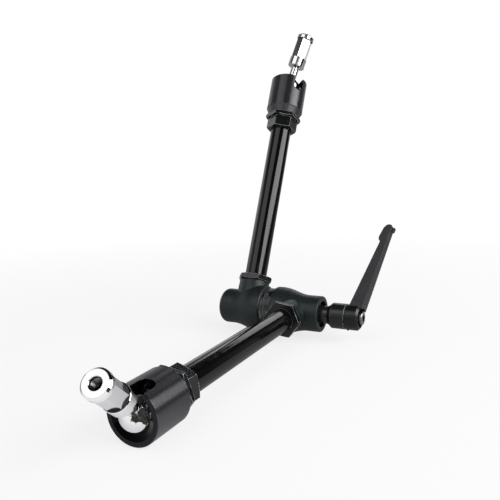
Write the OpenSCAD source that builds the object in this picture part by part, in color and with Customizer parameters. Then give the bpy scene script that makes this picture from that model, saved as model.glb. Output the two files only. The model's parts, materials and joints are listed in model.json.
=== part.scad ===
// Articulating friction arm: two tubes on an elbow, a ball stud at each far end,
// and one lever that draws two wedges together and so locks all three joints.
// X is the elbow axis with the lever at +X, the lower arm lies along -Y, Z is up.

/* [Pose] */
// Angle between the two arms, in degrees
elbow_angle = 116; // [60:1:180]
// Tilt of the lower ball stud away from its arm, towards the notch
lower_tilt = 40; // [0:1:90]
// Tilt of the upper ball stud away from its arm, towards the notch
upper_tilt = 17; // [0:1:90]
// Direction of the lower notch around its arm, from the elbow axis
lower_notch_dir = 75; // [-180:1:180]
// Direction of the upper notch around its arm, from the elbow axis
upper_notch_dir = -30; // [-180:1:180]
// Direction of the lever handle around the elbow axis, from the back upwards
lever_dir = 63; // [0:1:180]

/* [Arms] */
// Distance from the elbow axis to the rim of each ball housing
arm_reach = 223; // [170:1:280]
// Sideways distance from the middle of the elbow to each arm's axis
arm_offset = 21; // [20:0.5:28]
// Outside diameter of the arm tubes
tube_d = 19; // [15:0.5:23]
// Wall of the arm tubes
tube_wall = 2.5; // [1.5:0.1:3]
// Diameter of the push rod inside each tube
rod_d = 8; // [5:0.5:9]

/* [Ball housings] */
// Outside diameter of the housings
housing_d = 34; // [32:0.5:42]
// Length of the housings' cylindrical part
housing_body_len = 31.5; // [30:0.5:42]
// Length of the taper at the back of the lower housing
lower_taper = 2; // [1:0.5:8]
// Length of the taper at the back of the upper housing
upper_taper = 5.5; // [1:0.5:8]
// Width of the flat ring around the mouth
mouth_ring = 3.2; // [2:0.1:4]
// Depth of the ball's centre below the mouth
ball_depth = 6; // [4:0.1:7]
// Across flats of the thin lock nut
lock_nut_af = 28.8; // [27:0.1:36]
// Thickness of the thin lock nut
lock_nut_t = 3.5; // [3:0.1:7]
// Across flats of the hexagonal end fitting
fitting_af = 24.4; // [24:0.1:32]
// Length of the fitting's hexagon
fitting_hex_len = 10; // [8:0.5:16]
// Depth of the notch below the ball's centre
notch_drop = 3; // [0:0.5:4]

/* [Ball studs] */
// Diameter of the balls
ball_d = 22; // [18:0.5:24]
// Diameter of the neck behind the ball
neck_d = 7.5; // [6:0.1:9]
// Diameter of the spigot, the five eighths of an inch light stand size
spigot_d = 16; // [12:0.1:19]
// Gap between the housing and the spigot's collar at full tilt
collar_gap = 4.5; // [1:0.1:6]
// Length of the spigot's collar
collar_len = 9; // [6:0.5:16]
// Length of the hexagonal waist
waist_len = 18; // [12:0.5:24]
// Across flats of the hexagonal waist
waist_af = 12.8; // [9:0.1:14]
// Length of the rim at the spigot's end
rim_len = 4.5; // [3:0.5:8]
// Diameter of the lower stud's tapped hole, a quarter of an inch
small_thread_d = 6.35; // [5:0.05:8]
// Diameter of the upper stud's tapped hole, three eighths of an inch
large_thread_d = 9.53; // [6:0.05:10]
// Depth of the tapped holes
thread_depth = 12; // [8:0.5:15]

/* [Elbow] */
// Largest diameter of the two elbow halves
knuckle_d = 40; // [38:0.5:48]
// Diameter of the ends of the elbow
knuckle_end_d = 30; // [28:0.5:36]
// Length of each elbow half, from the middle of the elbow
knuckle_len = 46; // [44:0.5:56]
// Distance from the elbow axis to the end of each tube boss
boss_reach = 23.5; // [22:0.5:32]
// Diameter of the tube bosses at their ends
boss_d = 26; // [25:0.5:32]
// Across flats of the thin nuts on the bosses
jam_nut_af = 27; // [22:0.5:30]
// Thickness of the thin nuts on the bosses
jam_nut_t = 4.3; // [3:0.1:6]
// Width of the groove between the elbow halves
groove_w = 9; // [4:0.5:10]
// Diameter of the friction ring that shows in the groove
ring_d = 36.5; // [31:0.5:37]
// Diameter of the bore that holds the wedges
wedge_bore_d = 20; // [18:0.5:22]
// Diameter of the draw bolt
bolt_d = 10; // [8:0.5:12]
// Slope of the wedges, in degrees
wedge_slope = 25; // [15:1:35]

/* [Lever] */
// Diameter of the clamp nut's shank
shank_d = 15; // [13:0.5:17]
// Diameter of the clamp nut's collar and of the lever's hub
hub_d = 21; // [18:0.5:26]
// Length of the clamp nut's collar
nut_collar_len = 11.8; // [8:0.1:16]
// Length of the lever's hub
hub_len = 11.2; // [10:0.1:16]
// Distance from the elbow axis to the tip of the lever
lever_len = 80; // [60:0.5:110]
// Outward lean of the lever, in degrees
lever_lean = 14.7; // [5:0.1:30]
// Width of the lever's arm at the elbow axis
lever_base_w = 11.8; // [8:0.1:12]
// Width of the lever's arm at its tip
lever_tip_w = 4; // [3:0.1:10]
// Thickness of the lever's arm at the elbow axis
lever_base_t = 14; // [8:0.5:16]
// Thickness of the lever's arm at its tip
lever_tip_t = 8.5; // [3:0.5:10]
// Length of the finger grip at the lever's tip
grip_len = 14.5; // [10:0.5:25]
// Step of the finger grip out of the lever's edge
grip_step = 2.4; // [0.5:0.1:3]
// Step of the small stop on the other edge of the grip
stop_step = 2; // [0.5:0.1:3]
// Number of serrations between clamp nut and lever
serrations = 24; // [16:1:32]
// Diameter of the lever's retaining screw
screw_d = 6; // [4:0.5:6.5]
// Diameter of the retaining screw's head
screw_head_d = 11; // [9:0.5:11.5]
// Length of the retaining screw's head
screw_head_len = 3.8; // [3:0.1:6]

/* [Fits] */
// Radial clearance of a turning or sliding fit
fit_gap = 0.06; // [0.02:0.01:0.1]
// Radial clearance of a screwed or pressed seat
seat_gap = 0.03; // [0.01:0.01:0.1]
// Clearance between faces that stay apart
face_gap = 0.1; // [0.05:0.05:0.3]
// Clearance around the ball in its seat
ball_gap = 0.15; // [0.05:0.05:0.3]

/* [Hidden] */
$fn = 96;
eps = 0.01;

// Stations along an arm, measured from the elbow axis
ball_at = arm_reach - ball_depth;
lower_back = arm_reach - housing_body_len - lower_taper;
upper_back = arm_reach - housing_body_len - upper_taper;
thread_shown = 0.6;
function lock_nut_at(back) = back - face_gap - lock_nut_t;
function fitting_at(back) = lock_nut_at(back) - thread_shown - fitting_hex_len;
pad_len = 7;
pad_at = ball_at - ball_d / 2 - 2.2;
fitting_end = pad_at - 0.6;
tube_end = fitting_end - 6;
tube_start = wedge_bore_d / 2 + 3;
jam_nut_at = boss_reach + face_gap;
rod_end = pad_at - face_gap;

// Radii and small features along an arm
ball_r = ball_d / 2;
chamber_r = ball_r + ball_gap;
lip_r = ball_r - 0.55;
lip_at = ball_at + sqrt(pow(chamber_r, 2) - pow(lip_r, 2));
mouth_r = housing_d / 2 - mouth_ring;
thread_r = ball_r + 1.4;
notch_w = neck_d + 2.2;
notch_at = ball_at - notch_drop;
rod_hole_r = rod_d / 2 + fit_gap;
tube_hole_r = tube_d / 2 + seat_gap;
edge = 0.6;

// How far each hexagon came round when it was tightened: boss nut, end fitting, lock nut
lower_hex_turn = [52, 37, 51];
upper_hex_turn = [3, 26, 26];

// Stations along a ball stud, measured from the ball's centre
collar_at = housing_d / 2 + collar_gap;
waist_at = collar_at + collar_len;
rim_at = waist_at + waist_len;
stud_len = rim_at + rim_len;

// Stations along the elbow axis, measured from the middle of the elbow
wedge_big_r = wedge_bore_d / 2 - fit_gap;
wedge_small_r = bolt_d / 2 + 1.3;
wedge_cone_len = (wedge_big_r - wedge_small_r) / tan(wedge_slope);
wedge_cone_at = arm_offset - wedge_cone_len / 2;
wedge_nose_at = wedge_cone_at - 6;
wedge_end = knuckle_len - 9.5;
wedge_mid_r = (wedge_big_r + wedge_small_r) / 2;
washer_at = wedge_end + face_gap;
washer_t = 3;
head_t = 5.8;
bore_end = knuckle_len - 3;
recess_d = wedge_bore_d + 2;
recess_at = knuckle_len - 5;
shank_at = washer_at + washer_t + 0.5;
collar_cone_at = knuckle_len + 6;
nut_collar_at = collar_cone_at + 3.5;
hub_at = nut_collar_at + nut_collar_len + face_gap;
hub_end = hub_at + hub_len;
tooth_len = 2;
tooth_h = 0.8;
tooth_gap = 0.15;
stub_r = 6.4;
web_at = hub_at + tooth_len + 0.5;
web_t = 1.4;
pocket_at = web_at + web_t;
lever_washer_t = 0.7;
screw_head_at = hub_end - 1.4;
lever_washer_at = screw_head_at - lever_washer_t;
screw_tip = nut_collar_at + 4;
bolt_end = screw_tip - 2;
pocket_r = screw_head_d / 2 + 0.35;
hub_bevel = 1.8;
hub_recess_r = hub_d / 2 - hub_bevel - 1;
hub_recess_at = hub_end - 2.1;

// The friction ring sits in a counterbore of each half
ring_seat_r = wedge_bore_d / 2 + 3;
ring_seat_len = 5;
lip_round = 1.8;
open_round = 1.2;
cap_round = 5;

// How the arm stands: the elbow and the lower housing's rim touch the ground
axis_z = knuckle_d / 2;
droop = asin(axis_z / norm([arm_reach, housing_d / 2])) - atan2(housing_d / 2, arm_reach);
lower_turn = 90 + droop;
upper_turn = 90 - elbow_angle + droop;

// Directions of the studs in the arm frames and then in the model's frame
function stud_dir(tilt, dir) = [sin(tilt) * cos(dir), sin(tilt) * sin(dir), cos(tilt)];
function turn_x(v, a) = [v[0], v[1] * cos(a) - v[2] * sin(a), v[1] * sin(a) + v[2] * cos(a)];
lower_dir = turn_x(stud_dir(lower_tilt, lower_notch_dir), lower_turn);
upper_dir = turn_x(stud_dir(upper_tilt, upper_notch_dir), upper_turn);
lower_axis = turn_x([0, 0, 1], lower_turn);
upper_axis = turn_x([0, 0, 1], upper_turn);

// The ends of the whole object along X and Y, to set it over its origin
function disc_reach(r, along) = r * sqrt(1 - along * along);
function tip_reach(along) = let (r = spigot_d / 2, n = abs(along)) max(
    stud_len * n + disc_reach(r - edge, n),
    (stud_len - edge) * n + disc_reach(r, n)
);
function lever_edge(r, side) = hub_at + hub_len / 2 + r * tan(lever_lean)
    + side * (lever_base_w + (lever_tip_w - lever_base_w) * r / lever_len) / 2;
stop_at = lever_len - 6;
stop_end = lever_len - 2;
lever_tip_x = lever_edge(stop_end, 1) + stop_step;
front_y = ball_at * lower_axis[1] - tip_reach(lower_dir[1]);
back_y = max(
    ball_at * upper_axis[1] + tip_reach(upper_dir[1]),
    arm_reach * upper_axis[1] + disc_reach(housing_d / 2, upper_axis[1])
);
centre_x = (lever_tip_x - knuckle_len) / 2;
centre_y = (front_y + back_y) / 2;

// Points of a quarter circle of radius r about c, from angle a to angle b
function arc(c, r, a, b, n = 8) = [for (i = [0:n])
    let (t = a + (b - a) * i / n) c + r * [cos(t), sin(t)]];

// Where each group of pieces stands
module in_place() { translate([-centre_x, -centre_y, axis_z]) children(); }
module on_lower_arm() { in_place() translate([arm_offset, 0, 0]) rotate([lower_turn, 0, 0]) children(); }
module on_upper_arm() { in_place() translate([-arm_offset, 0, 0]) rotate([upper_turn, 0, 0]) children(); }
module at_ball(tilt, dir) { translate([0, 0, ball_at]) rotate([0, tilt, dir]) children(); }
module along_x() { rotate([0, 90, 0]) children(); }
module on_elbow(side = 1) { in_place() mirror([side < 0 ? 1 : 0, 0, 0]) along_x() children(); }

// A turned piece from its outline of radius against height
module turned(outline) { rotate_extrude() polygon(outline); }

// A ring with a chamfered outer edge at each end
module ring(r_out, r_in, h, chamfer = edge) {
    turned([
        [r_in, 0], [r_out - chamfer, 0], [r_out, chamfer],
        [r_out, h - chamfer], [r_out - chamfer, h], [r_in, h]
    ]);
}

// A hexagonal nut with the corners turned down at both ends
module hex_nut(af, bore_r, h, turn) {
    corner_r = af / sqrt(3);
    bevel = 1.2;
    rotate([0, 0, turn]) intersection() {
        difference() {
            cylinder(r = corner_r, h = h, $fn = 6);
            translate([0, 0, -eps]) cylinder(r = bore_r, h = h + 2 * eps);
        }
        turned([
            [0, 0], [corner_r - bevel, 0], [corner_r, bevel * 0.6],
            [corner_r, h - bevel * 0.6], [corner_r - bevel, h], [0, h]
        ]);
    }
}

// Outside of one elbow half, turned about the elbow axis from the groove outwards
module knuckle_form(end_round) {
    big_r = knuckle_d / 2;
    small_r = knuckle_end_d / 2;
    shoulder_at = arm_offset - boss_d / 2 + 3;
    neck_at = arm_offset + boss_d / 2 - 1;
    steps = 14;
    turned(concat(
        [[0, groove_w / 2]],
        arc([big_r - lip_round, groove_w / 2 + lip_round], lip_round, -90, 0, 6),
        [for (i = [0:steps]) let (t = i / steps)
            [big_r - (big_r - small_r) * (t - sin(360 * t) / (4 * PI)),
             shoulder_at + (neck_at - shoulder_at) * t]],
        arc([small_r - end_round, knuckle_len - end_round], end_round, 0, 90, 6),
        [[0, knuckle_len]]
    ));
}

// The cast boss that takes the tube, with draft towards its end
module tube_boss() {
    cylinder(r1 = boss_d / 2 + 1, r2 = boss_d / 2 + 0.1, h = boss_reach - 0.8);
    translate([0, 0, boss_reach - 0.8 - eps])
        cylinder(r1 = boss_d / 2 + 0.1, r2 = boss_d / 2 - 0.6, h = 0.8 + eps);
}

module knuckle_holes() {
    // seat of the tube and guide of the push rod
    translate([0, 0, tube_start - face_gap]) cylinder(r = tube_hole_r, h = boss_reach);
    cylinder(r = rod_hole_r, h = boss_reach);
}

// An elbow half in its arm's frame, with its outer end towards side
module knuckle(side, open_end) {
    difference() {
        union() {
            translate([-side * arm_offset, 0, 0]) mirror([side < 0 ? 1 : 0, 0, 0])
                along_x() knuckle_form(open_end ? open_round : cap_round);
            tube_boss();
        }
        translate([-side * arm_offset, 0, 0]) mirror([side < 0 ? 1 : 0, 0, 0]) along_x() {
            cylinder(r = wedge_bore_d / 2, h = open_end ? knuckle_len : bore_end);
            cylinder(r = ring_seat_r + fit_gap, h = groove_w / 2 + ring_seat_len);
            if (open_end) translate([0, 0, recess_at]) cylinder(r = recess_d / 2, h = knuckle_len);
        }
        knuckle_holes();
    }
}

module tube() {
    translate([0, 0, tube_start]) difference() {
        cylinder(d = tube_d, h = tube_end - tube_start);
        translate([0, 0, -eps]) cylinder(d = tube_d - 2 * tube_wall, h = tube_end);
    }
}

module jam_nut(turn) { translate([0, 0, jam_nut_at]) hex_nut(jam_nut_af, tube_hole_r, jam_nut_t, turn); }
module lock_nut(back, turn) {
    translate([0, 0, lock_nut_at(back)]) hex_nut(lock_nut_af, thread_r, lock_nut_t, turn);
}

// Hexagon outside, threaded spigot for the lock nut and the housing, tube seat behind
module end_fitting(back, turn) {
    hex_at = fitting_at(back);
    difference() {
        union() {
            translate([0, 0, hex_at]) hex_nut(fitting_af, rod_d / 2, fitting_hex_len, turn);
            translate([0, 0, hex_at + fitting_hex_len - eps])
                ring(thread_r - seat_gap, rod_d / 2, fitting_end - hex_at - fitting_hex_len);
        }
        translate([0, 0, hex_at - eps]) cylinder(r = tube_hole_r, h = tube_end + face_gap - hex_at);
        translate([0, 0, hex_at]) cylinder(r = rod_hole_r, h = arm_reach);
    }
}

// Cup with a spherical seat, a bevelled mouth and the notch that lets the stud fold down
module ball_housing(back, taper, notch_dir) {
    outer_r = housing_d / 2;
    taper_r = thread_r + 2.2;
    seat_step = 10;
    from_a = asin((lip_at - ball_at) / chamber_r);
    difference() {
        turned(concat(
            [[thread_r, back], [taper_r, back], [outer_r - edge, back + taper]],
            [[outer_r, back + taper + edge], [outer_r, arm_reach - edge]],
            [[outer_r - edge, arm_reach], [mouth_r, arm_reach], [lip_r, lip_at]],
            arc([0, ball_at], chamber_r, from_a, 0, seat_step),
            [[chamber_r, fitting_end + 0.3], [thread_r, fitting_end + 0.3]]
        ));
        rotate([0, 0, notch_dir]) translate([0, 0, notch_at]) {
            along_x() cylinder(d = notch_w, h = housing_d);
            translate([0, -notch_w / 2, 0]) cube([housing_d, notch_w, arm_reach]);
        }
    }
}

module push_rod() {
    // the nose rests on the wedge's cone
    r = rod_d / 2;
    nose_at = wedge_mid_r + (r + face_gap) / cos(wedge_slope);
    turned(concat(
        arc([0, nose_at], r, -90, 0, 8),
        [[r, rod_end - edge], [r - edge, rod_end], [0, rod_end]]
    ));
}

// The pad that carries the rod's thrust to the ball
module pressure_pad() {
    pad_r = chamber_r - fit_gap;
    difference() {
        translate([0, 0, pad_at]) ring(pad_r, 0, pad_len);
        translate([0, 0, ball_at]) sphere(r = ball_r + face_gap);
    }
}

// Ball, neck, collar, hexagonal waist and rim, turned as one piece along +Z
module ball_stud(thread_d) {
    neck_r = neck_d / 2;
    spigot_r = spigot_d / 2;
    mouth_depth = 0.5;
    ball_top = sqrt(pow(ball_r, 2) - pow(neck_r, 2));
    difference() {
        union() {
            sphere(r = ball_r);
            turned(concat(
                [[0, 0], [neck_r + 1, ball_top - 1.4]],
                [[neck_r, ball_top + 0.8], [neck_r, collar_at - 1]],
                [[neck_r + 1, collar_at], [spigot_r - edge, collar_at], [spigot_r, collar_at + edge]],
                [[spigot_r, waist_at - edge], [spigot_r - edge, waist_at], [0, waist_at]]
            ));
            translate([0, 0, waist_at - eps]) intersection() {
                cylinder(d = waist_af * 2 / sqrt(3), h = waist_len + 2 * eps, $fn = 6);
                cylinder(r = spigot_r - edge, h = waist_len + 2 * eps);
            }
            translate([0, 0, rim_at]) ring(spigot_r, 0, rim_len);
        }
        translate([0, 0, stud_len - thread_depth]) cylinder(d = thread_d, h = thread_depth + eps);
        translate([0, 0, stud_len - mouth_depth])
            cylinder(r1 = thread_d / 2, r2 = thread_d / 2 + mouth_depth, h = mouth_depth + eps);
    }
}

// Sleeve between the halves, with the flange that shows in the groove
module friction_ring_form() {
    flange = groove_w / 2 - face_gap;
    body = groove_w / 2 + ring_seat_len - face_gap;
    inner_r = wedge_bore_d / 2 + 0.3;
    flange_r = ring_d / 2;
    turned([
        [inner_r, -body], [ring_seat_r - edge, -body], [ring_seat_r, edge - body], [ring_seat_r, -flange],
        [flange_r, -flange], [flange_r, flange], [ring_seat_r, flange],
        [ring_seat_r, body - edge], [ring_seat_r - edge, body], [inner_r, body]
    ]);
}

// Bolt through both wedges, with its head behind the upper one
module draw_bolt_form() {
    translate([0, 0, -wedge_end - face_gap - head_t]) ring(wedge_big_r - 0.5, 0, head_t);
    translate([0, 0, -wedge_end - face_gap - eps])
        cylinder(d = bolt_d, h = wedge_end + face_gap + bolt_end);
}

module thrust_washer_form() {
    translate([0, 0, washer_at]) ring(wedge_big_r - 0.2, bolt_d / 2 + fit_gap, washer_t);
}

// A wedge with its cone falling towards the middle of the elbow
module wedge() {
    hole_r = bolt_d / 2 + fit_gap;
    turned([
        [hole_r, wedge_nose_at], [wedge_small_r, wedge_nose_at], [wedge_small_r, wedge_cone_at],
        [wedge_big_r, wedge_cone_at + wedge_cone_len], [wedge_big_r, wedge_end], [hole_r, wedge_end]
    ]);
}

// V serrations around a hub, with their roots on radius r
function serrated(r) = [for (i = [0:2 * serrations - 1])
    (r + (i % 2) * tooth_h) * [cos(180 * i / serrations), sin(180 * i / serrations)]];

module clamp_nut_form() {
    hub_r = hub_d / 2;
    nut_end = hub_at - face_gap;
    difference() {
        union() {
            turned([
                [0, shank_at], [shank_d / 2 - edge, shank_at], [shank_d / 2, shank_at + edge],
                [shank_d / 2, collar_cone_at], [hub_r, nut_collar_at],
                [hub_r, nut_end - 0.5], [hub_r - 0.5, nut_end], [0, nut_end]
            ]);
            translate([0, 0, nut_end - eps]) linear_extrude(tooth_len) polygon(serrated(stub_r - tooth_h));
        }
        translate([0, 0, shank_at - eps]) cylinder(r = bolt_d / 2 + fit_gap, h = bolt_end + 0.5 - shank_at);
        translate([0, 0, bolt_end]) cylinder(r = screw_d / 2 + seat_gap, h = hub_end);
    }
}

// The lever's arm: its outline across the elbow axis, cut to the taper of its thickness
module lever_arm() {
    grip_at = lever_len - grip_len;
    tip_mid = (lever_edge(lever_len, -1) + lever_edge(lever_len, 1)) / 2;
    rotate([lever_dir, 0, 0]) {
        intersection() {
            translate([0, 0, -hub_d / 2]) linear_extrude(hub_d) polygon([
                [lever_edge(stub_r, -1), stub_r],
                [lever_edge(grip_at, -1), grip_at],
                [lever_edge(grip_at, -1) - grip_step * 0.7, grip_at + 1],
                [lever_edge(grip_at + 3.5, -1) - grip_step * 1.1, grip_at + 3.5],
                [lever_edge(lever_len - 3, -1) - grip_step * 0.9, lever_len - 3],
                [lever_edge(lever_len, -1) - 0.8, lever_len - 0.5],
                [tip_mid - 1, lever_len],
                [tip_mid + 1, lever_len - 0.4],
                [lever_edge(lever_len - 2.6, 1), lever_len - 2.6],
                [lever_edge(stub_r, 1), stub_r]
            ]);
            along_x() translate([0, 0, hub_at]) linear_extrude(2 * lever_len, center = true) polygon([
                [-lever_base_t / 2, 0], [lever_base_t / 2, 0],
                [lever_tip_t / 2, lever_len], [-lever_tip_t / 2, lever_len]
            ]);
        }
        translate([0, 0, -lever_tip_t / 4]) linear_extrude(lever_tip_t / 2) polygon([
            [lever_edge(stop_at, 1) - 1, stop_at], [lever_edge(stop_at, 1) + stop_step, stop_at + 0.4],
            [lever_edge(stop_end, 1) + stop_step, stop_end - 0.4], [lever_edge(stop_end, 1) - 1, stop_end]
        ]);
    }
}

// Hub, arm and the casting's small pip opposite the arm
module lever_handle_form() {
    hub_r = hub_d / 2;
    pip_r = 1.1;
    difference() {
        union() {
            along_x() turned([
                [0, hub_at], [hub_r - 0.5, hub_at], [hub_r, hub_at + 0.5], [hub_r, hub_end - hub_bevel],
                [hub_r - hub_bevel, hub_end], [0, hub_end]
            ]);
            rotate([lever_dir, 0, 0]) translate([hub_at + 1 + pip_r, 0.3 - hub_r, 0])
                sphere(r = pip_r, $fn = 24);
            lever_arm();
        }
        along_x() {
            translate([0, 0, hub_at - eps]) linear_extrude(tooth_len + 0.2)
                polygon(serrated(stub_r - tooth_h + tooth_gap));
            translate([0, 0, hub_at + tooth_len])
                cylinder(r = stub_r + 0.4, h = web_at - hub_at - tooth_len);
            translate([0, 0, hub_at]) cylinder(r = screw_d / 2 + 0.3, h = hub_len);
            translate([0, 0, pocket_at]) cylinder(r = pocket_r, h = lever_len);
            translate([0, 0, hub_recess_at]) cylinder(r = hub_recess_r, h = lever_len);
        }
    }
}

// Spring of round wire, swept along a helix
module lever_spring_form() {
    wire_r = 0.3;
    coil_r = (pocket_r + screw_d / 2) / 2 + 0.1;
    low = pocket_at + wire_r + 0.1;
    high = lever_washer_at - wire_r - 0.1;
    turns = 3;
    rings = 56;
    sides = 8;
    points = [for (i = [0:rings], k = [0:sides - 1])
        let (a = 360 * turns * i / rings, b = 360 * k / sides, r = coil_r + wire_r * cos(b))
        [r * cos(a), r * sin(a), low + (high - low) * i / rings + wire_r * sin(b)]];
    walls = [for (i = [0:rings - 1], k = [0:sides - 1])
        let (p = i * sides, q = (k + 1) % sides)
        [p + k, p + sides + k, p + sides + q, p + q]];
    polyhedron(points, concat(
        walls,
        [[for (k = [0:sides - 1]) k]],
        [[for (k = [sides - 1:-1:0]) rings * sides + k]]
    ));
}

module lever_washer_form() {
    washer_r = screw_head_d / 2 - 0.2;
    translate([0, 0, lever_washer_at]) ring(washer_r, screw_d / 2 + 0.2, lever_washer_t, 0.15);
}

module lever_screw_form() {
    key_af = screw_d * 0.8;
    difference() {
        union() {
            translate([0, 0, screw_head_at]) ring(screw_head_d / 2, 0, screw_head_len, 0.5);
            translate([0, 0, screw_tip]) cylinder(d = screw_d, h = screw_head_at - screw_tip + eps);
        }
        translate([0, 0, screw_head_at + screw_head_len * 0.3])
            cylinder(d = key_af * 2 / sqrt(3), h = screw_head_len, $fn = 6);
    }
}

// Colours, as the photo shows them
cast = [0.14, 0.18, 0.19];
black = [0.08, 0.08, 0.09];
gloss = [0.03, 0.03, 0.035];
satin = [0.17, 0.17, 0.18];
steel = [0.6, 0.6, 0.62];
chrome = [0.85, 0.85, 0.87];
bronze = [0.75, 0.6, 0.3];

// Pieces of the lower arm
module lower_knuckle() { color(cast) on_lower_arm() knuckle(1, true); }
module lower_jam_nut() { color(black) on_lower_arm() jam_nut(lower_hex_turn[0]); }
module lower_tube() { color(gloss) on_lower_arm() tube(); }
module lower_end_fitting() { color(black) on_lower_arm() end_fitting(lower_back, lower_hex_turn[1]); }
module lower_lock_nut() { color(black) on_lower_arm() lock_nut(lower_back, lower_hex_turn[2]); }
module lower_ball_housing() {
    color(satin) on_lower_arm() ball_housing(lower_back, lower_taper, lower_notch_dir);
}
module lower_push_rod() { color(steel) on_lower_arm() push_rod(); }
module lower_pressure_pad() { color(bronze) on_lower_arm() pressure_pad(); }
module lower_ball_stud() {
    color(chrome) on_lower_arm() at_ball(lower_tilt, lower_notch_dir) ball_stud(small_thread_d);
}

// Pieces of the upper arm
module upper_knuckle() { color(cast) on_upper_arm() knuckle(-1, false); }
module upper_jam_nut() { color(black) on_upper_arm() jam_nut(upper_hex_turn[0]); }
module upper_tube() { color(gloss) on_upper_arm() tube(); }
module upper_end_fitting() { color(black) on_upper_arm() end_fitting(upper_back, upper_hex_turn[1]); }
module upper_lock_nut() { color(black) on_upper_arm() lock_nut(upper_back, upper_hex_turn[2]); }
module upper_ball_housing() {
    color(satin) on_upper_arm() ball_housing(upper_back, upper_taper, upper_notch_dir);
}
module upper_push_rod() { color(steel) on_upper_arm() push_rod(); }
module upper_pressure_pad() { color(bronze) on_upper_arm() pressure_pad(); }
module upper_ball_stud() {
    color(chrome) on_upper_arm() at_ball(upper_tilt, upper_notch_dir) ball_stud(large_thread_d);
}

// Pieces on the elbow axis
module friction_ring() { color(steel) on_elbow() friction_ring_form(); }
module draw_bolt() { color(steel) on_elbow() draw_bolt_form(); }
module lower_wedge() { color(steel) on_elbow(1) wedge(); }
module upper_wedge() { color(steel) on_elbow(-1) wedge(); }
module thrust_washer() { color(bronze) on_elbow() thrust_washer_form(); }
module clamp_nut() { color(black) on_elbow() clamp_nut_form(); }
module lever_handle() { color(satin) in_place() lever_handle_form(); }
module lever_spring() { color(chrome) on_elbow() lever_spring_form(); }
module lever_washer() { color(steel) on_elbow() lever_washer_form(); }
module lever_screw() { color(black) on_elbow() lever_screw_form(); }

lower_knuckle();
lower_jam_nut();
lower_tube();
lower_end_fitting();
lower_lock_nut();
lower_ball_housing();
lower_push_rod();
lower_pressure_pad();
lower_ball_stud();
upper_knuckle();
upper_jam_nut();
upper_tube();
upper_end_fitting();
upper_lock_nut();
upper_ball_housing();
upper_push_rod();
upper_pressure_pad();
upper_ball_stud();
friction_ring();
draw_bolt();
lower_wedge();
upper_wedge();
thrust_washer();
clamp_nut();
lever_handle();
lever_spring();
lever_washer();
lever_screw();
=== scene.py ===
"""Looks of the articulating friction arm: finishes, small cut details, studio and camera."""

import json
import math

import bmesh
import bpy
from mathutils import Matrix, Vector


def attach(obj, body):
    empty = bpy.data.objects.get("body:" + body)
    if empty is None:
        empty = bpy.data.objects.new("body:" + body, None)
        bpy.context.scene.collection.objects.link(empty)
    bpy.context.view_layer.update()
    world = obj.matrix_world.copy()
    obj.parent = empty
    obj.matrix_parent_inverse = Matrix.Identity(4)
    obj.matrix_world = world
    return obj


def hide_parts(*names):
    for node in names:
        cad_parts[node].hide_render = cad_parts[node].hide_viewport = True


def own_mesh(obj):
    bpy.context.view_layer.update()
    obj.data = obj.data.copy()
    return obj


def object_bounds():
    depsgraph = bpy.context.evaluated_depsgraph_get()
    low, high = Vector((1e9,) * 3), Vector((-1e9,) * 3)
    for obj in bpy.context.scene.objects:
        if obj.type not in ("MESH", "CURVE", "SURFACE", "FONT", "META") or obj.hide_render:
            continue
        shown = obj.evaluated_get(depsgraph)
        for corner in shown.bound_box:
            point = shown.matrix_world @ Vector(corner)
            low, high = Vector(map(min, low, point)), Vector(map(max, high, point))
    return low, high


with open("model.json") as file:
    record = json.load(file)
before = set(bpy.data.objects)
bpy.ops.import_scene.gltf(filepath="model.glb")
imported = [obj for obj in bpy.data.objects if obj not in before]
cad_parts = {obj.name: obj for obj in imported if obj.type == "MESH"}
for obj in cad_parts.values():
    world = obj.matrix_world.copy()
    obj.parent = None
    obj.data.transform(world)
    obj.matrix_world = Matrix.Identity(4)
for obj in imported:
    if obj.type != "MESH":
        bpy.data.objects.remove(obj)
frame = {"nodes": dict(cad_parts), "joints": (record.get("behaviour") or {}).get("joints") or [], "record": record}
cad_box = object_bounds()

MM = 0.001
scene = bpy.context.scene
joints = {j["name"]: j for j in frame["joints"]}
mounts = {m["name"]: m for m in frame["record"]["mounts"]}
X_AXIS = Vector((1, 0, 0))
UP = Vector((0, 0, 1))

# Places taken from the frame
elbow = Vector(joints["elbow_turn"]["pos_m"])
ball = {side: Vector(joints[side + "_swivel"]["pos_m"]) for side in ("lower", "upper")}
arm_dir = {side: Vector(joints[side + "_swivel"]["axis"]) for side in ("lower", "upper")}
stud_dir = {side: Vector(mounts[side + "_spigot"]["axis"]) for side in ("lower", "upper")}

# Sizes repeated from the CAD
ARM_REACH = 223 * MM
BODY_AT = {side: ARM_REACH - 31.5 * MM for side in ("lower", "upper")}
ARM_OFFSET = {"lower": X_AXIS * 21 * MM, "upper": X_AXIS * -21 * MM}
BALL_RADIUS = 11 * MM
COLLAR_AT = 21.5 * MM
WAIST_AT = 30.5 * MM
RIM_AT = 48.5 * MM
STUD_LEN = 53 * MM
TAP_RADIUS = {"lower": 3.175 * MM, "upper": 4.765 * MM}
HUB_RADIUS = 10.5 * MM
RECESS_RADIUS = 12 * MM
RECESS_FROM, RECESS_TO = 30 * MM, 45.2 * MM
SHANK_TO = 52 * MM
SPRING_FOOT, SPRING_TOP = 71.72 * MM, 76.43 * MM


# Shader nodes

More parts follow.
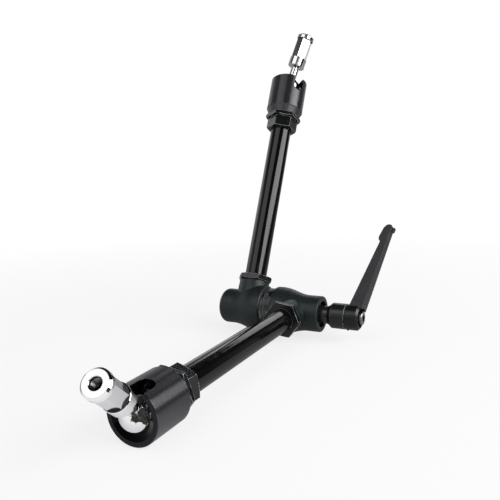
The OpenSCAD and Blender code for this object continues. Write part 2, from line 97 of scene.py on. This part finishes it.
class Shader:
    """A Principled material whose colour, roughness and height are built up step by step."""

    def __init__(self, name, colour, roughness, metallic=0.0):
        self.material = bpy.data.materials.new(name)
        self.material.use_nodes = True
        self.tree = self.material.node_tree
        self.bsdf = self.tree.nodes["Principled BSDF"]
        self.bsdf.inputs["Base Color"].default_value = (*colour, 1)
        self.bsdf.inputs["Roughness"].default_value = roughness
        self.bsdf.inputs["Metallic"].default_value = metallic
        self.colour = colour
        self.place = self.add("ShaderNodeTexCoord").outputs["Object"]

    def add(self, kind, **settings):
        node = self.tree.nodes.new(kind)
        for key, value in settings.items():
            setattr(node, key, value)
        return node

    def plug(self, value, socket):
        if isinstance(value, bpy.types.NodeSocket):
            self.tree.links.new(value, socket)
        else:
            socket.default_value = value

    def maths(self, operation, a, b=0.0):
        node = self.add("ShaderNodeMath", operation=operation)
        self.plug(a, node.inputs[0])
        self.plug(b, node.inputs[1])
        return node.outputs[0]

    def along(self, point, axis):
        """Distance in metres along axis from point."""
        shifted = self.add("ShaderNodeVectorMath", operation="SUBTRACT")
        self.plug(self.place, shifted.inputs[0])
        shifted.inputs[1].default_value = point
        dot = self.add("ShaderNodeVectorMath", operation="DOT_PRODUCT")
        self.plug(shifted.outputs[0], dot.inputs[0])
        dot.inputs[1].default_value = axis
        return dot.outputs["Value"]

    def radius(self, point, axis):
        """Distance in metres from the line through point along axis."""
        shifted = self.add("ShaderNodeVectorMath", operation="SUBTRACT")
        self.plug(self.place, shifted.inputs[0])
        shifted.inputs[1].default_value = point
        cross = self.add("ShaderNodeVectorMath", operation="CROSS_PRODUCT")
        self.plug(shifted.outputs[0], cross.inputs[0])
        cross.inputs[1].default_value = axis
        length = self.add("ShaderNodeVectorMath", operation="LENGTH")
        self.plug(cross.outputs[0], length.inputs[0])
        return length.outputs["Value"]

    def within(self, value, low, high, soft=0.1 * MM):
        """1 where value lies between low and high."""
        above = self.remap(value, low - soft, low + soft)
        below = self.remap(value, high + soft, high - soft)
        return self.maths("MULTIPLY", above, below)

    def noise(self, size, detail=2.0, stretch=None):
        """Soft noise from 0 to 1 whose spots are about size metres wide."""
        place = self.place
        if stretch:
            scaled = self.add("ShaderNodeVectorMath", operation="MULTIPLY")
            self.plug(place, scaled.inputs[0])
            scaled.inputs[1].default_value = stretch
            place = scaled.outputs[0]
        node = self.add("ShaderNodeTexNoise")
        self.plug(place, node.inputs["Vector"])
        node.inputs["Scale"].default_value = 1 / size
        node.inputs["Detail"].default_value = detail
        return node.outputs["Fac"]

    def lines(self, distance, size, detail=2.0):
        """Noise from 0 to 1 that changes only with distance, as turning marks do."""
        node = self.add("ShaderNodeTexNoise", noise_dimensions="1D")
        self.plug(distance, node.inputs["W"])
        node.inputs["Scale"].default_value = 1 / size
        node.inputs["Detail"].default_value = detail
        return node.outputs["Fac"]

    def remap(self, value, low, high, to_low=0.0, to_high=1.0):
        node = self.add("ShaderNodeMapRange")
        self.plug(value, node.inputs["Value"])
        for key, number in (("From Min", low), ("From Max", high), ("To Min", to_low), ("To Max", to_high)):
            node.inputs[key].default_value = number
        return node.outputs["Result"]

    def tint(self, mask, colour):
        """The base colour goes over to colour where mask is 1."""
        mix = self.add("ShaderNodeMix", data_type="RGBA")
        self.plug(mask, mix.inputs["Factor"])
        base = self.bsdf.inputs["Base Color"]
        if base.is_linked:
            self.plug(base.links[0].from_socket, mix.inputs["A"])
        else:
            mix.inputs["A"].default_value = (*self.colour, 1)
        mix.inputs["B"].default_value = (*colour, 1)
        self.plug(mix.outputs["Result"], base)

    def rough(self, value):
        self.plug(value, self.bsdf.inputs["Roughness"])

    def rough_where(self, mask, value):
        """The roughness goes over to value where mask is 1."""
        mix = self.add("ShaderNodeMix", data_type="FLOAT")
        self.plug(mask, mix.inputs["Factor"])
        rough = self.bsdf.inputs["Roughness"]
        self.plug(rough.links[0].from_socket if rough.is_linked else rough.default_value, mix.inputs["A"])
        self.plug(value, mix.inputs["B"])
        self.plug(mix.outputs["Result"], rough)

    def rounded(self, radius):
        """Edges catch the light as if rounded by radius. Gives a mask that is 1 on the edges."""
        bevel = self.add("ShaderNodeBevel", samples=16)
        bevel.inputs["Radius"].default_value = radius
        self.plug(bevel.outputs[0], self.bsdf.inputs["Normal"])
        turned = self.add("ShaderNodeVectorMath", operation="DOT_PRODUCT")
        self.plug(bevel.outputs[0], turned.inputs[0])
        self.plug(self.add("ShaderNodeNewGeometry").outputs["Normal"], turned.inputs[1])
        return self.remap(turned.outputs["Value"], 0.985, 0.93)

    def turned(self, axis, amount):
        """Fine turning rings round axis: the gloss spreads along axis."""
        turn = self.add("ShaderNodeVectorTransform", vector_type="VECTOR",
                        convert_from="OBJECT", convert_to="WORLD")
        turn.inputs[0].default_value = axis
        self.plug(turn.outputs[0], self.bsdf.inputs["Tangent"])
        self.bsdf.inputs["Anisotropic"].default_value = amount

    def bump(self, height, depth, strength=1.0):
        """Height from 0 to 1 raised by depth metres, over the bumps there already."""
        node = self.add("ShaderNodeBump")
        node.inputs["Strength"].default_value = strength
        node.inputs["Distance"].default_value = depth
        self.plug(height, node.inputs["Height"])
        normal = self.bsdf.inputs["Normal"]
        if normal.is_linked:
            self.plug(normal.links[0].from_socket, node.inputs["Normal"])
        self.plug(node.outputs["Normal"], normal)


def powder_coat():
    """Dark grey-green powder coat over the elbow castings, bare in the machined recess."""
    s = Shader("powder_coat", (0.0085, 0.0138, 0.0152), 0.4)
    s.rounded(1.3 * MM)
    s.tint(s.remap(s.noise(14 * MM, 3), 0.35, 0.75), (0.0122, 0.0186, 0.0204))
    s.rough(s.remap(s.noise(3 * MM, 3), 0.3, 0.7, 0.34, 0.48))
    recess = s.maths("MULTIPLY", s.remap(s.radius(elbow, X_AXIS), RECESS_RADIUS, RECESS_RADIUS - 0.2 * MM),
                     s.within(s.along(elbow, X_AXIS), RECESS_FROM, RECESS_TO))
    s.tint(recess, (0.14, 0.14, 0.145))
    s.rough_where(recess, 0.15)
    s.plug(recess, s.bsdf.inputs["Metallic"])
    s.bump(s.noise(1.1 * MM, 2), 0.12 * MM, 0.45)
    s.bump(s.noise(0.35 * MM, 2), 0.03 * MM, 0.5)
    return s.material


def gloss_black(side):
    """Gloss black lacquer on a drawn tube."""
    s = Shader("gloss_black_" + side, (0.0018, 0.0019, 0.0021), 0.1)
    s.rough(s.remap(s.noise(6 * MM, 3), 0.3, 0.7, 0.07, 0.15))
    s.bump(s.noise(7 * MM, 2), 0.02 * MM, 0.2)
    return s.material


def satin_charcoal(side):
    """Turned and anodised housing: fine rings round its arm, gloss black in its bevel and notch."""
    s = Shader("satin_charcoal_" + side, (0.0075, 0.008, 0.0115), 0.3)
    s.bsdf.inputs["Specular IOR Level"].default_value = 1.0
    edges = s.rounded(0.35 * MM)
    s.turned(arm_dir[side], 0.9)
    distance = s.along(elbow, arm_dir[side])
    marks = s.lines(distance, 0.45 * MM, 2)
    s.tint(s.remap(s.noise(20 * MM, 2), 0.35, 0.7), (0.011, 0.0115, 0.016))
    s.rough(s.remap(marks, 0.3, 0.7, 0.27, 0.35))
    # Painted light: the taper is painted a lighter grey than the body, standing in for the light it catches.
    taper = s.within(distance, 178 * MM, BODY_AT[side])
    s.tint(taper, (0.02, 0.02, 0.024))
    s.rough_where(taper, 0.42)
    from_axis = s.radius(elbow + ARM_OFFSET[side], arm_dir[side])
    notch = s.maths("MULTIPLY", s.remap(from_axis, 16.7 * MM, 16.5 * MM),
                    s.within(distance, 200 * MM, ARM_REACH - 0.2 * MM))
    mouth = s.maths("MAXIMUM", notch, s.remap(from_axis, 13.9 * MM, 13.7 * MM))
    end_ring = s.remap(distance, ARM_REACH - 0.3 * MM, ARM_REACH - 0.1 * MM)
    s.tint(end_ring, (0.024, 0.024, 0.03))
    s.tint(mouth, (0.006, 0.006, 0.0065))
    s.rough_where(mouth, 0.14)
    s.plug(s.maths("MAXIMUM", mouth, end_ring), s.bsdf.inputs["Metallic"])
    # Painted highlight: stretches of the edges are painted lighter grey.
    s.tint(s.maths("MULTIPLY", edges, s.remap(s.noise(2 * MM, 2), 0.35, 0.6)), (0.06, 0.06, 0.066))
    s.bump(marks, 0.01 * MM, 0.25)
    return s.material


def black_oxide(name, shank=False):
    """Oiled black oxide on steel, worn bright along its edges, the pale edge colour partly painted highlight. With
    shank it is the clamp nut's, satin.
    """
    s = Shader("black_oxide_" + name, (0.0055, 0.006, 0.0078) if shank else (0.003, 0.0036, 0.0042), 0.22)
    s.bsdf.inputs["Specular IOR Level"].default_value = 0.7
    edges = s.rounded(0.45 * MM)
    s.tint(s.remap(s.noise(5 * MM, 3), 0.5, 0.75), (0.006, 0.007, 0.008))
    smooth, dull = (0.28, 0.37) if shank else (0.17, 0.28)
    s.rough(s.remap(s.noise(2.5 * MM, 3), 0.3, 0.7, smooth, dull))
    # Edges worn to bare steel, painted pale enough to stand in for the edge highlights as well.
    worn_and_highlit_edges = s.maths("MULTIPLY", edges, s.remap(s.noise(4 * MM, 2), 0.34, 0.5))
    s.tint(worn_and_highlit_edges, (0.55, 0.56, 0.57))
    s.rough_where(worn_and_highlit_edges, 0.4)
    if shank:
        s.turned(X_AXIS, 0.8)
        rubbed = s.remap(s.along(elbow, X_AXIS), SHANK_TO + 0.2 * MM, SHANK_TO - 0.2 * MM)
        s.tint(rubbed, (0.016, 0.016, 0.018))
        s.rough_where(rubbed, 0.16)
    s.bump(s.noise(1.5 * MM, 2), 0.01 * MM, 0.25)
    return s.material


def chrome(side):
    """Bright chrome, satin on the waist's flats, with painted shade in the tapped hole and the waist's steps, and
    a painted brown reflection on one ball.
    """
    s = Shader("chrome_" + side, (0.84, 0.84, 0.86), 0.04, 1.0)
    s.rounded(0.15 * MM)
    distance = s.along(ball[side], stud_dir[side])
    from_axis = s.radius(ball[side], stud_dir[side])
    waist = s.within(distance, WAIST_AT, RIM_AT)
    s.tint(waist, (0.74, 0.74, 0.76))
    s.rough_where(waist, 0.13)
    # Painted shade: a thin dark band at each step of the waist.
    for step in (WAIST_AT, RIM_AT):
        s.tint(s.within(distance, step - 0.35 * MM, step + 0.35 * MM), (0.05, 0.05, 0.055))
    # Painted shade: the tapped hole is painted dark.
    hole = s.maths("MULTIPLY", s.remap(from_axis, TAP_RADIUS[side] + 0.35 * MM, TAP_RADIUS[side] + 0.25 * MM),
                   s.remap(distance, RIM_AT - 10 * MM, RIM_AT - 9 * MM))
    s.tint(hole, (0.09, 0.085, 0.08))
    s.rough_where(hole, 0.3)
    if side == "lower":
        # Painted reflection: a ragged dark brown patch with golden glints on the lower ball.
        across = arm_dir[side].cross(stud_dir[side]).normalized()
        toward = arm_dir[side] * 0.66 - across * 0.62 + across.cross(arm_dir[side]) * 0.43
        ragged = s.remap(s.noise(4 * MM, 3), 0.3, 0.7, -2.6 * MM, 2.6 * MM)
        reach = s.maths("ADD", s.radius(ball[side], toward.normalized()), ragged)
        painted_brown_reflection = s.remap(reach, 4.6 * MM, 3.9 * MM)
        s.tint(painted_brown_reflection, (0.003, 0.0027, 0.002))
        s.tint(s.maths("MULTIPLY", painted_brown_reflection, s.remap(s.noise(1.6 * MM, 2), 0.54, 0.64)), (0.06, 0.045, 0.025))
        s.rough_where(painted_brown_reflection, 0.55)
        s.plug(s.remap(painted_brown_reflection, 0, 1, 1, 0), s.bsdf.inputs["Metallic"])
    s.bump(s.noise(9 * MM, 1), 0.03 * MM, 0.12)
    return s.material


def plain_steel(name, colour, roughness):
    """Turned bare metal."""
    s = Shader(name, colour, roughness, 1.0)
    s.rounded(0.2 * MM)
    s.rough(s.remap(s.noise(1.5 * MM, 3), 0.3, 0.7, roughness - 0.07, roughness + 0.08))
    s.bump(s.noise(0.5 * MM, 2), 0.01 * MM, 0.4)
    return s.material


def screw_metal():
    """Blackened screw whose head is rubbed to grey, with painted highlight on its edges and painted shade in its
    hexagonal socket.
    """
    s = Shader("screw_metal", (0.34, 0.34, 0.35), 0.24, 1.0)
    edges = s.rounded(0.3 * MM)
    # Painted highlight: the edges are painted pale grey.
    s.tint(edges, (0.7, 0.7, 0.71))
    # Painted shade: the hexagonal socket is painted near black.
    socket = s.remap(s.radius(elbow, X_AXIS), 2.9 * MM, 2.7 * MM)
    s.tint(socket, (0.006, 0.006, 0.006))
    s.bump(s.noise(0.6 * MM, 2), 0.01 * MM, 0.4)
    return s.material


def scuffed_ring():
    """The friction ring: black, with the pale scuffs that turning leaves round it."""
    s = Shader("scuffed_ring", (0.006, 0.0065, 0.007), 0.3)
    streaks = s.noise(1.0 * MM, 3, stretch=(1.6, 0.1, 0.1))
    patches = s.noise(8 * MM, 2)
    scuff = s.maths("MULTIPLY", s.remap(streaks, 0.47, 0.64), s.remap(patches, 0.4, 0.54))
    s.tint(scuff, (0.13, 0.13, 0.14))
    s.rough(s.remap(scuff, 0, 1, 0.24, 0.5))
    s.bump(streaks, 0.03 * MM, 0.5)
    return s.material


def cast_grey():
    """Matt coated die casting of the lever, gloss black round its hub, with painted highlight along its edges."""
    s = Shader("cast_grey", (0.0125, 0.0127, 0.0155), 0.42)
    edges = s.rounded(0.5 * MM)
    s.tint(s.remap(s.noise(12 * MM, 3), 0.4, 0.7), (0.017, 0.0172, 0.0205))
    s.rough(s.remap(s.noise(1.5 * MM, 3), 0.3, 0.7, 0.34, 0.5))
    # Painted highlight: stretches of the edges are painted lighter grey.
    s.tint(s.maths("MULTIPLY", edges, s.remap(s.noise(4 * MM, 2), 0.3, 0.5)), (0.085, 0.086, 0.092))
    hub = s.remap(s.radius(elbow, X_AXIS), HUB_RADIUS + 0.3 * MM, HUB_RADIUS + 0.1 * MM)
    s.tint(hub, (0.0045, 0.005, 0.0062))
    s.rough_where(hub, 0.27)
    s.bump(s.noise(0.45 * MM, 2), 0.03 * MM, 0.4)
    return s.material


def spring_wire():
    """Drawn spring wire."""
    s = Shader("spring_wire", (0.4, 0.4, 0.41), 0.25, 1.0)
    s.rough(s.remap(s.noise(0.5 * MM, 2), 0.3, 0.7, 0.2, 0.34))
    return s.material


def dress(node, material):
    slots = frame["nodes"][node].data.materials
    slots.clear()
    slots.append(material)


casting = powder_coat()
steel = plain_steel("bright_steel", (0.42, 0.42, 0.43), 0.3)
dark_steel = plain_steel("dark_steel", (0.06, 0.06, 0.065), 0.34)
bearing_bronze = plain_steel("bearing_bronze", (0.1, 0.08, 0.055), 0.34)
for side in ("lower", "upper"):
    dress(side + "_knuckle", casting)
    dress(side + "_tube", gloss_black(side))
    dress(side + "_ball_housing", satin_charcoal(side))
    dress(side + "_pressure_pad", dark_steel)
    dress(side + "_push_rod", steel)
    dress(side + "_wedge", steel)
    oxide = black_oxide(side)
    for nut in ("_jam_nut", "_end_fitting", "_lock_nut"):
        dress(side + nut, oxide)
dress("friction_ring", scuffed_ring())
dress("draw_bolt", steel)
dress("thrust_washer", bearing_bronze)
dress("clamp_nut", black_oxide("turned", shank=True))
dress("lever_handle", cast_grey())
dress("lever_washer", steel)
dress("lever_screw", screw_metal())


# Pieces made here: the studs, their threads and the lever's spring

SIDES = 96
SHARP = math.radians(32)


def skin(name, rings, body, material):
    """A closed piece through rings of points, with a flat face over each end."""
    bm = bmesh.new()
    loops = [[bm.verts.new(point) for point in ring] for ring in rings]
    for one, two in zip(loops, loops[1:]):
        for k in range(len(one)):
            n = (k + 1) % len(one)
            bm.faces.new((one[k], one[n], two[n], two[k]))
    bm.faces.new(loops[0][::-1])
    bm.faces.new(loops[-1])
    bmesh.ops.recalc_face_normals(bm, faces=bm.faces)
    mesh = bpy.data.meshes.new(name)
    bm.to_mesh(mesh)
    bm.free()
    mesh.shade_smooth()
    mesh.set_sharp_from_angle(angle=SHARP)
    mesh.materials.append(material)
    piece = bpy.data.objects.new(name, mesh)
    scene.collection.objects.link(piece)
    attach(piece, body)
    return piece


def helix(origin, axis, start, turns, rise, profile, steps=36):
    """Rings of a profile of (radius, height) swept round axis; rise gives the height at each turn."""
    side = axis.cross(start)
    rings = []
    for i in range(round(turns * steps) + 1):
        turn = i / steps
        a = 2 * math.pi * turn
        out = start * math.cos(a) + side * math.sin(a)
        rings.append([origin + out * r + axis * (rise(turn) + z) for r, z in profile])
    return rings


def stud(side, spin):
    """Ball, neck, collar, hexagonal waist, rim and tapped hole. The waist is turned by spin degrees."""
    axis = stud_dir[side]
    e2 = arm_dir[side].cross(axis).normalized()
    e1 = e2.cross(axis)
    tap = TAP_RADIUS[side]
    edge, end_edge = 0.6 * MM, 1.15 * MM
    neck, collar, flat = 3.75 * MM, 8 * MM, 6.4 * MM
    arc_end = math.acos(4.19 / 11)
    arc = [-math.pi / 2 + 0.03 + (arc_end + math.pi / 2 - 0.03) * i / 40 for i in range(41)]
    outline = [(BALL_RADIUS * math.cos(a), BALL_RADIUS * math.sin(a), None) for a in arc]
    outline += [
        (neck + 0.15 * MM, 10.7 * MM, None), (neck, 11.4 * MM, None),
        (neck, COLLAR_AT - 1 * MM, None), (neck + 1 * MM, COLLAR_AT, None),
        (collar - edge, COLLAR_AT, None), (collar, COLLAR_AT + edge, None),
        (collar, WAIST_AT - edge, None), (collar - edge, WAIST_AT, None),
        (collar - edge, WAIST_AT, flat), (collar - edge, RIM_AT, flat),
        (collar - edge, RIM_AT, None), (collar, RIM_AT + edge, None),
        (collar, STUD_LEN - end_edge, None), (collar - end_edge, STUD_LEN, None),
        (tap + 0.5 * MM, STUD_LEN, None), (tap, STUD_LEN - 0.5 * MM, None),
        (tap, STUD_LEN - 12 * MM, None),
    ]
    rings = []
    for r, z, across in outline:
        ring = []
        for i in range(SIDES):
            a = 2 * math.pi * i / SIDES
            reach = min(r, across / math.cos(a % (math.pi / 3) - math.pi / 6)) if across else r
            turned = a + math.radians(spin)
            ring.append(ball[side] + axis * z + (e1 * math.cos(turned) + e2 * math.sin(turned)) * reach)
        rings.append(ring)
    piece = skin(side + "_stud", rings, side + "_stud", chrome(side))
    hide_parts(side + "_ball_stud")


def hole_thread(side, pitch, depth):
    """The ridge of the thread in a stud's tapped hole."""
    wall = TAP_RADIUS[side] + 0.05 * MM
    crest = wall - depth
    profile = ((wall, -0.42 * pitch), (crest, -0.06 * pitch), (crest, 0.06 * pitch), (wall, 0.42 * pitch))
    axis = -stud_dir[side]
    origin = ball[side] - axis * (STUD_LEN - 0.7 * MM)
    rings = helix(origin, axis, axis.orthogonal().normalized(), 6, lambda turn: (0.5 + turn) * pitch, profile)
    skin(side + "_hole_thread", rings, side + "_stud", thread_metal)


def coil_rise(turn):
    """Height of the spring's wire: the first and last turns lie close, two open turns between."""
    close, open_pitch = 0.62 * MM, 1.58 * MM
    return min(turn, 1) * close + min(max(turn - 1, 0), 2) * open_pitch + max(turn - 3, 0) * close


thread_metal = plain_steel("thread_metal", (0.2, 0.19, 0.185), 0.3)
stud("lower", 0)
stud("upper", 12)
hole_thread("lower", 1.27 * MM, 0.6 * MM)
hole_thread("upper", 1.5875 * MM, 0.75 * MM)

COIL_RADIUS, WIRE_RADIUS = 4.525 * MM, 0.3 * MM
wire = [(COIL_RADIUS + WIRE_RADIUS * math.cos(b), WIRE_RADIUS * math.sin(b))
        for b in (k * math.pi / 5 for k in range(10))]
coil = helix(elbow + X_AXIS * SPRING_FOOT, X_AXIS, UP, 4, coil_rise, wire)
spring = skin("lever_coil", coil, "lever", spring_wire())
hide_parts("lever_spring")
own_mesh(spring)


# Studio: the photograph's own camera, found from the arm's known sizes

CAMERA_FROM_ELBOW = Vector((0.2099, -0.4559, 0.1278))
CAMERA_FORWARD = Vector((-0.4454, 0.8829, -0.1488)).normalized()
CAMERA_UP = Vector((-0.0468, 0.1430, 0.9886))
FOCAL_IN_FRAMES = 593.9 / 500
SENSOR = 36.0

camera = bpy.data.objects.new("camera", bpy.data.cameras.new("camera"))
scene.collection.objects.link(camera)
scene.camera = camera
camera.data.sensor_width = SENSOR
camera.data.lens = FOCAL_IN_FRAMES * SENSOR
camera.data.clip_start = 0.01
camera.location = elbow + CAMERA_FROM_ELBOW
right = CAMERA_FORWARD.cross(CAMERA_UP).normalized()
true_up = right.cross(CAMERA_FORWARD)
camera.rotation_mode = "QUATERNION"
camera.rotation_quaternion = Matrix((right, true_up, -CAMERA_FORWARD)).transposed().to_quaternion()

middle = (cad_box[0] + cad_box[1]) / 2
level_back = Vector((-CAMERA_FORWARD.x, -CAMERA_FORWARD.y, 0)).normalized()
level_right = UP.cross(level_back)


def softbox(name, turn, rise, distance, size, strength):
    """An area light seen from the arm at turn degrees right of the camera and rise degrees up."""
    a, e = math.radians(turn), math.radians(rise)
    level = level_back * math.cos(a) + level_right * math.sin(a)
    toward = level * math.cos(e) + UP * math.sin(e)
    data = bpy.data.lights.new(name, "AREA")
    data.shape = "RECTANGLE"
    data.size, data.size_y = size
    data.energy = strength * math.pi * size[0] * size[1]
    lamp = bpy.data.objects.new(name, data)
    lamp.location = middle + toward * distance
    lamp.rotation_mode = "QUATERNION"
    lamp.rotation_quaternion = toward.to_track_quat("Z", "Y")
    scene.collection.objects.link(lamp)


softbox("key_softbox", 63, 28, 1.3, (1.45, 0.7), 5.0)
softbox("side_softbox", -50, 46, 1.3, (1.1, 0.82), 1.15)
softbox("front_card", 10, 22, 1.3, (0.42, 0.36), 1.35)
softbox("back_right_softbox", 160, 27, 1.5, (0.95, 0.26), 1.8)
softbox("back_left_softbox", -128, 16, 1.5, (0.8, 0.42), 0.7)


def mixed(tree, factor, a, b):
    node = tree.nodes.new("ShaderNodeMixShader")
    tree.links.new(factor, node.inputs[0])
    tree.links.new(a, node.inputs[1])
    tree.links.new(b, node.inputs[2])
    return node.outputs[0]


def seen_directly(tree):
    """1 for rays from the camera, from gloss and through glass."""
    path = tree.nodes.new("ShaderNodeLightPath")
    total = path.outputs["Is Camera Ray"]
    for name in ("Is Glossy Ray", "Is Transmission Ray"):
        node = tree.nodes.new("ShaderNodeMath")
        node.operation = "MAXIMUM"
        tree.links.new(total, node.inputs[0])
        tree.links.new(path.outputs[name], node.inputs[1])
        total = node.outputs[0]
    return total


def spread(tree, place, direction, low, high, to_low=0.0, to_high=1.0):
    """Goes from to_low to to_high as place's reach along direction goes from low to high."""
    dot = tree.nodes.new("ShaderNodeVectorMath")
    dot.operation = "DOT_PRODUCT"
    tree.links.new(place, dot.inputs[0])
    dot.inputs[1].default_value = direction
    span = tree.nodes.new("ShaderNodeMapRange")
    tree.links.new(dot.outputs["Value"], span.inputs["Value"])
    for key, number in (("From Min", low), ("From Max", high), ("To Min", to_low), ("To Max", to_high)):
        span.inputs[key].default_value = number
    return span.outputs["Result"]


def make_floor():
    bm = bmesh.new()
    bmesh.ops.create_grid(bm, x_segments=1, y_segments=1, size=6.0)
    mesh = bpy.data.meshes.new("floor")
    bm.to_mesh(mesh)
    bm.free()
    floor = bpy.data.objects.new("floor", mesh)
    floor.location = (0, 0, -0.05 * MM)
    scene.collection.objects.link(floor)
    material = bpy.data.materials.new("floor")
    material.use_nodes = True
    tree = material.node_tree
    bsdf = tree.nodes["Principled BSDF"]
    bsdf.inputs["Base Color"].default_value = (0.88, 0.88, 0.88, 1)
    bsdf.inputs["Roughness"].default_value = 0.9
    bsdf.inputs["Specular IOR Level"].default_value = 0.0
    place = tree.nodes.new("ShaderNodeTexCoord").outputs["Object"]
    away = tree.nodes.new("ShaderNodeVectorMath")
    away.operation = "DISTANCE"
    tree.links.new(place, away.inputs[0])
    away.inputs[1].default_value = (middle.x, middle.y, 0)
    glow = tree.nodes.new("ShaderNodeEmission")
    glow.inputs["Color"].default_value = (1, 1, 1, 1)
    before = spread(tree, place, level_back, 0.08, 0.16, 0.26, 1.0)
    strength = tree.nodes.new("ShaderNodeMath")
    strength.operation = "MAXIMUM"
    tree.links.new(before, strength.inputs[0])
    tree.links.new(tree.nodes.new("ShaderNodeLightPath").outputs["Is Camera Ray"], strength.inputs[1])
    tree.links.new(strength.outputs[0], glow.inputs["Strength"])
    fade = tree.nodes.new("ShaderNodeMapRange")
    tree.links.new(away.outputs["Value"], fade.inputs["Value"])
    for key, number in (("From Min", 0.22), ("From Max", 0.75), ("To Min", 0.78), ("To Max", 1.0)):
        fade.inputs[key].default_value = number
    share = tree.nodes.new("ShaderNodeMath")
    share.operation = "MULTIPLY"
    tree.links.new(fade.outputs["Result"], share.inputs[1])
    tree.links.new(seen_directly(tree), share.inputs[0])
    result = mixed(tree, share.outputs[0], bsdf.outputs[0], glow.outputs[0])
    tree.links.new(result, tree.nodes["Material Output"].inputs["Surface"])
    mesh.materials.append(material)


def make_world():
    """White to the camera. Gloss sees a white sweep behind the arm and a room that darkens to the right."""
    world = bpy.data.worlds.new("studio")
    scene.world = world
    world.use_nodes = True
    tree = world.node_tree
    room = tree.nodes["Background"]
    room.inputs["Color"].default_value = (1, 1, 1, 1)
    room.inputs["Strength"].default_value = 0.34
    white = tree.nodes.new("ShaderNodeBackground")
    white.inputs["Color"].default_value = (1, 1, 1, 1)
    white.inputs["Strength"].default_value = 1.0
    dim = tree.nodes.new("ShaderNodeBackground")
    dim.inputs["Color"].default_value = (1, 1, 1, 1)
    place = tree.nodes.new("ShaderNodeTexCoord").outputs["Generated"]

    leftward = spread(tree, place, -level_right, -0.5, 0.9, 0.04, 0.55)
    low = spread(tree, place, UP, 0.62, 0.38, 0.12, 1.0)
    room_light = tree.nodes.new("ShaderNodeMath")
    room_light.operation = "MULTIPLY"
    tree.links.new(leftward, room_light.inputs[0])
    tree.links.new(low, room_light.inputs[1])
    tree.links.new(room_light.outputs[0], dim.inputs["Strength"])
    sweep = tree.nodes.new("ShaderNodeMath")
    sweep.operation = "MULTIPLY"
    tree.links.new(spread(tree, place, -level_back, 0.45, 0.95), sweep.inputs[0])
    tree.links.new(spread(tree, place, UP, 0.4, 0.15), sweep.inputs[1])
    path = tree.nodes.new("ShaderNodeLightPath")
    glossy = mixed(tree, sweep.outputs[0], dim.outputs[0], white.outputs[0])
    lit = mixed(tree, seen_directly(tree), room.outputs[0], glossy)
    result = mixed(tree, path.outputs["Is Camera Ray"], lit, white.outputs[0])
    tree.links.new(result, tree.nodes["World Output"].inputs["Surface"])


make_floor()
make_world()
scene.view_settings.view_transform = "Standard"
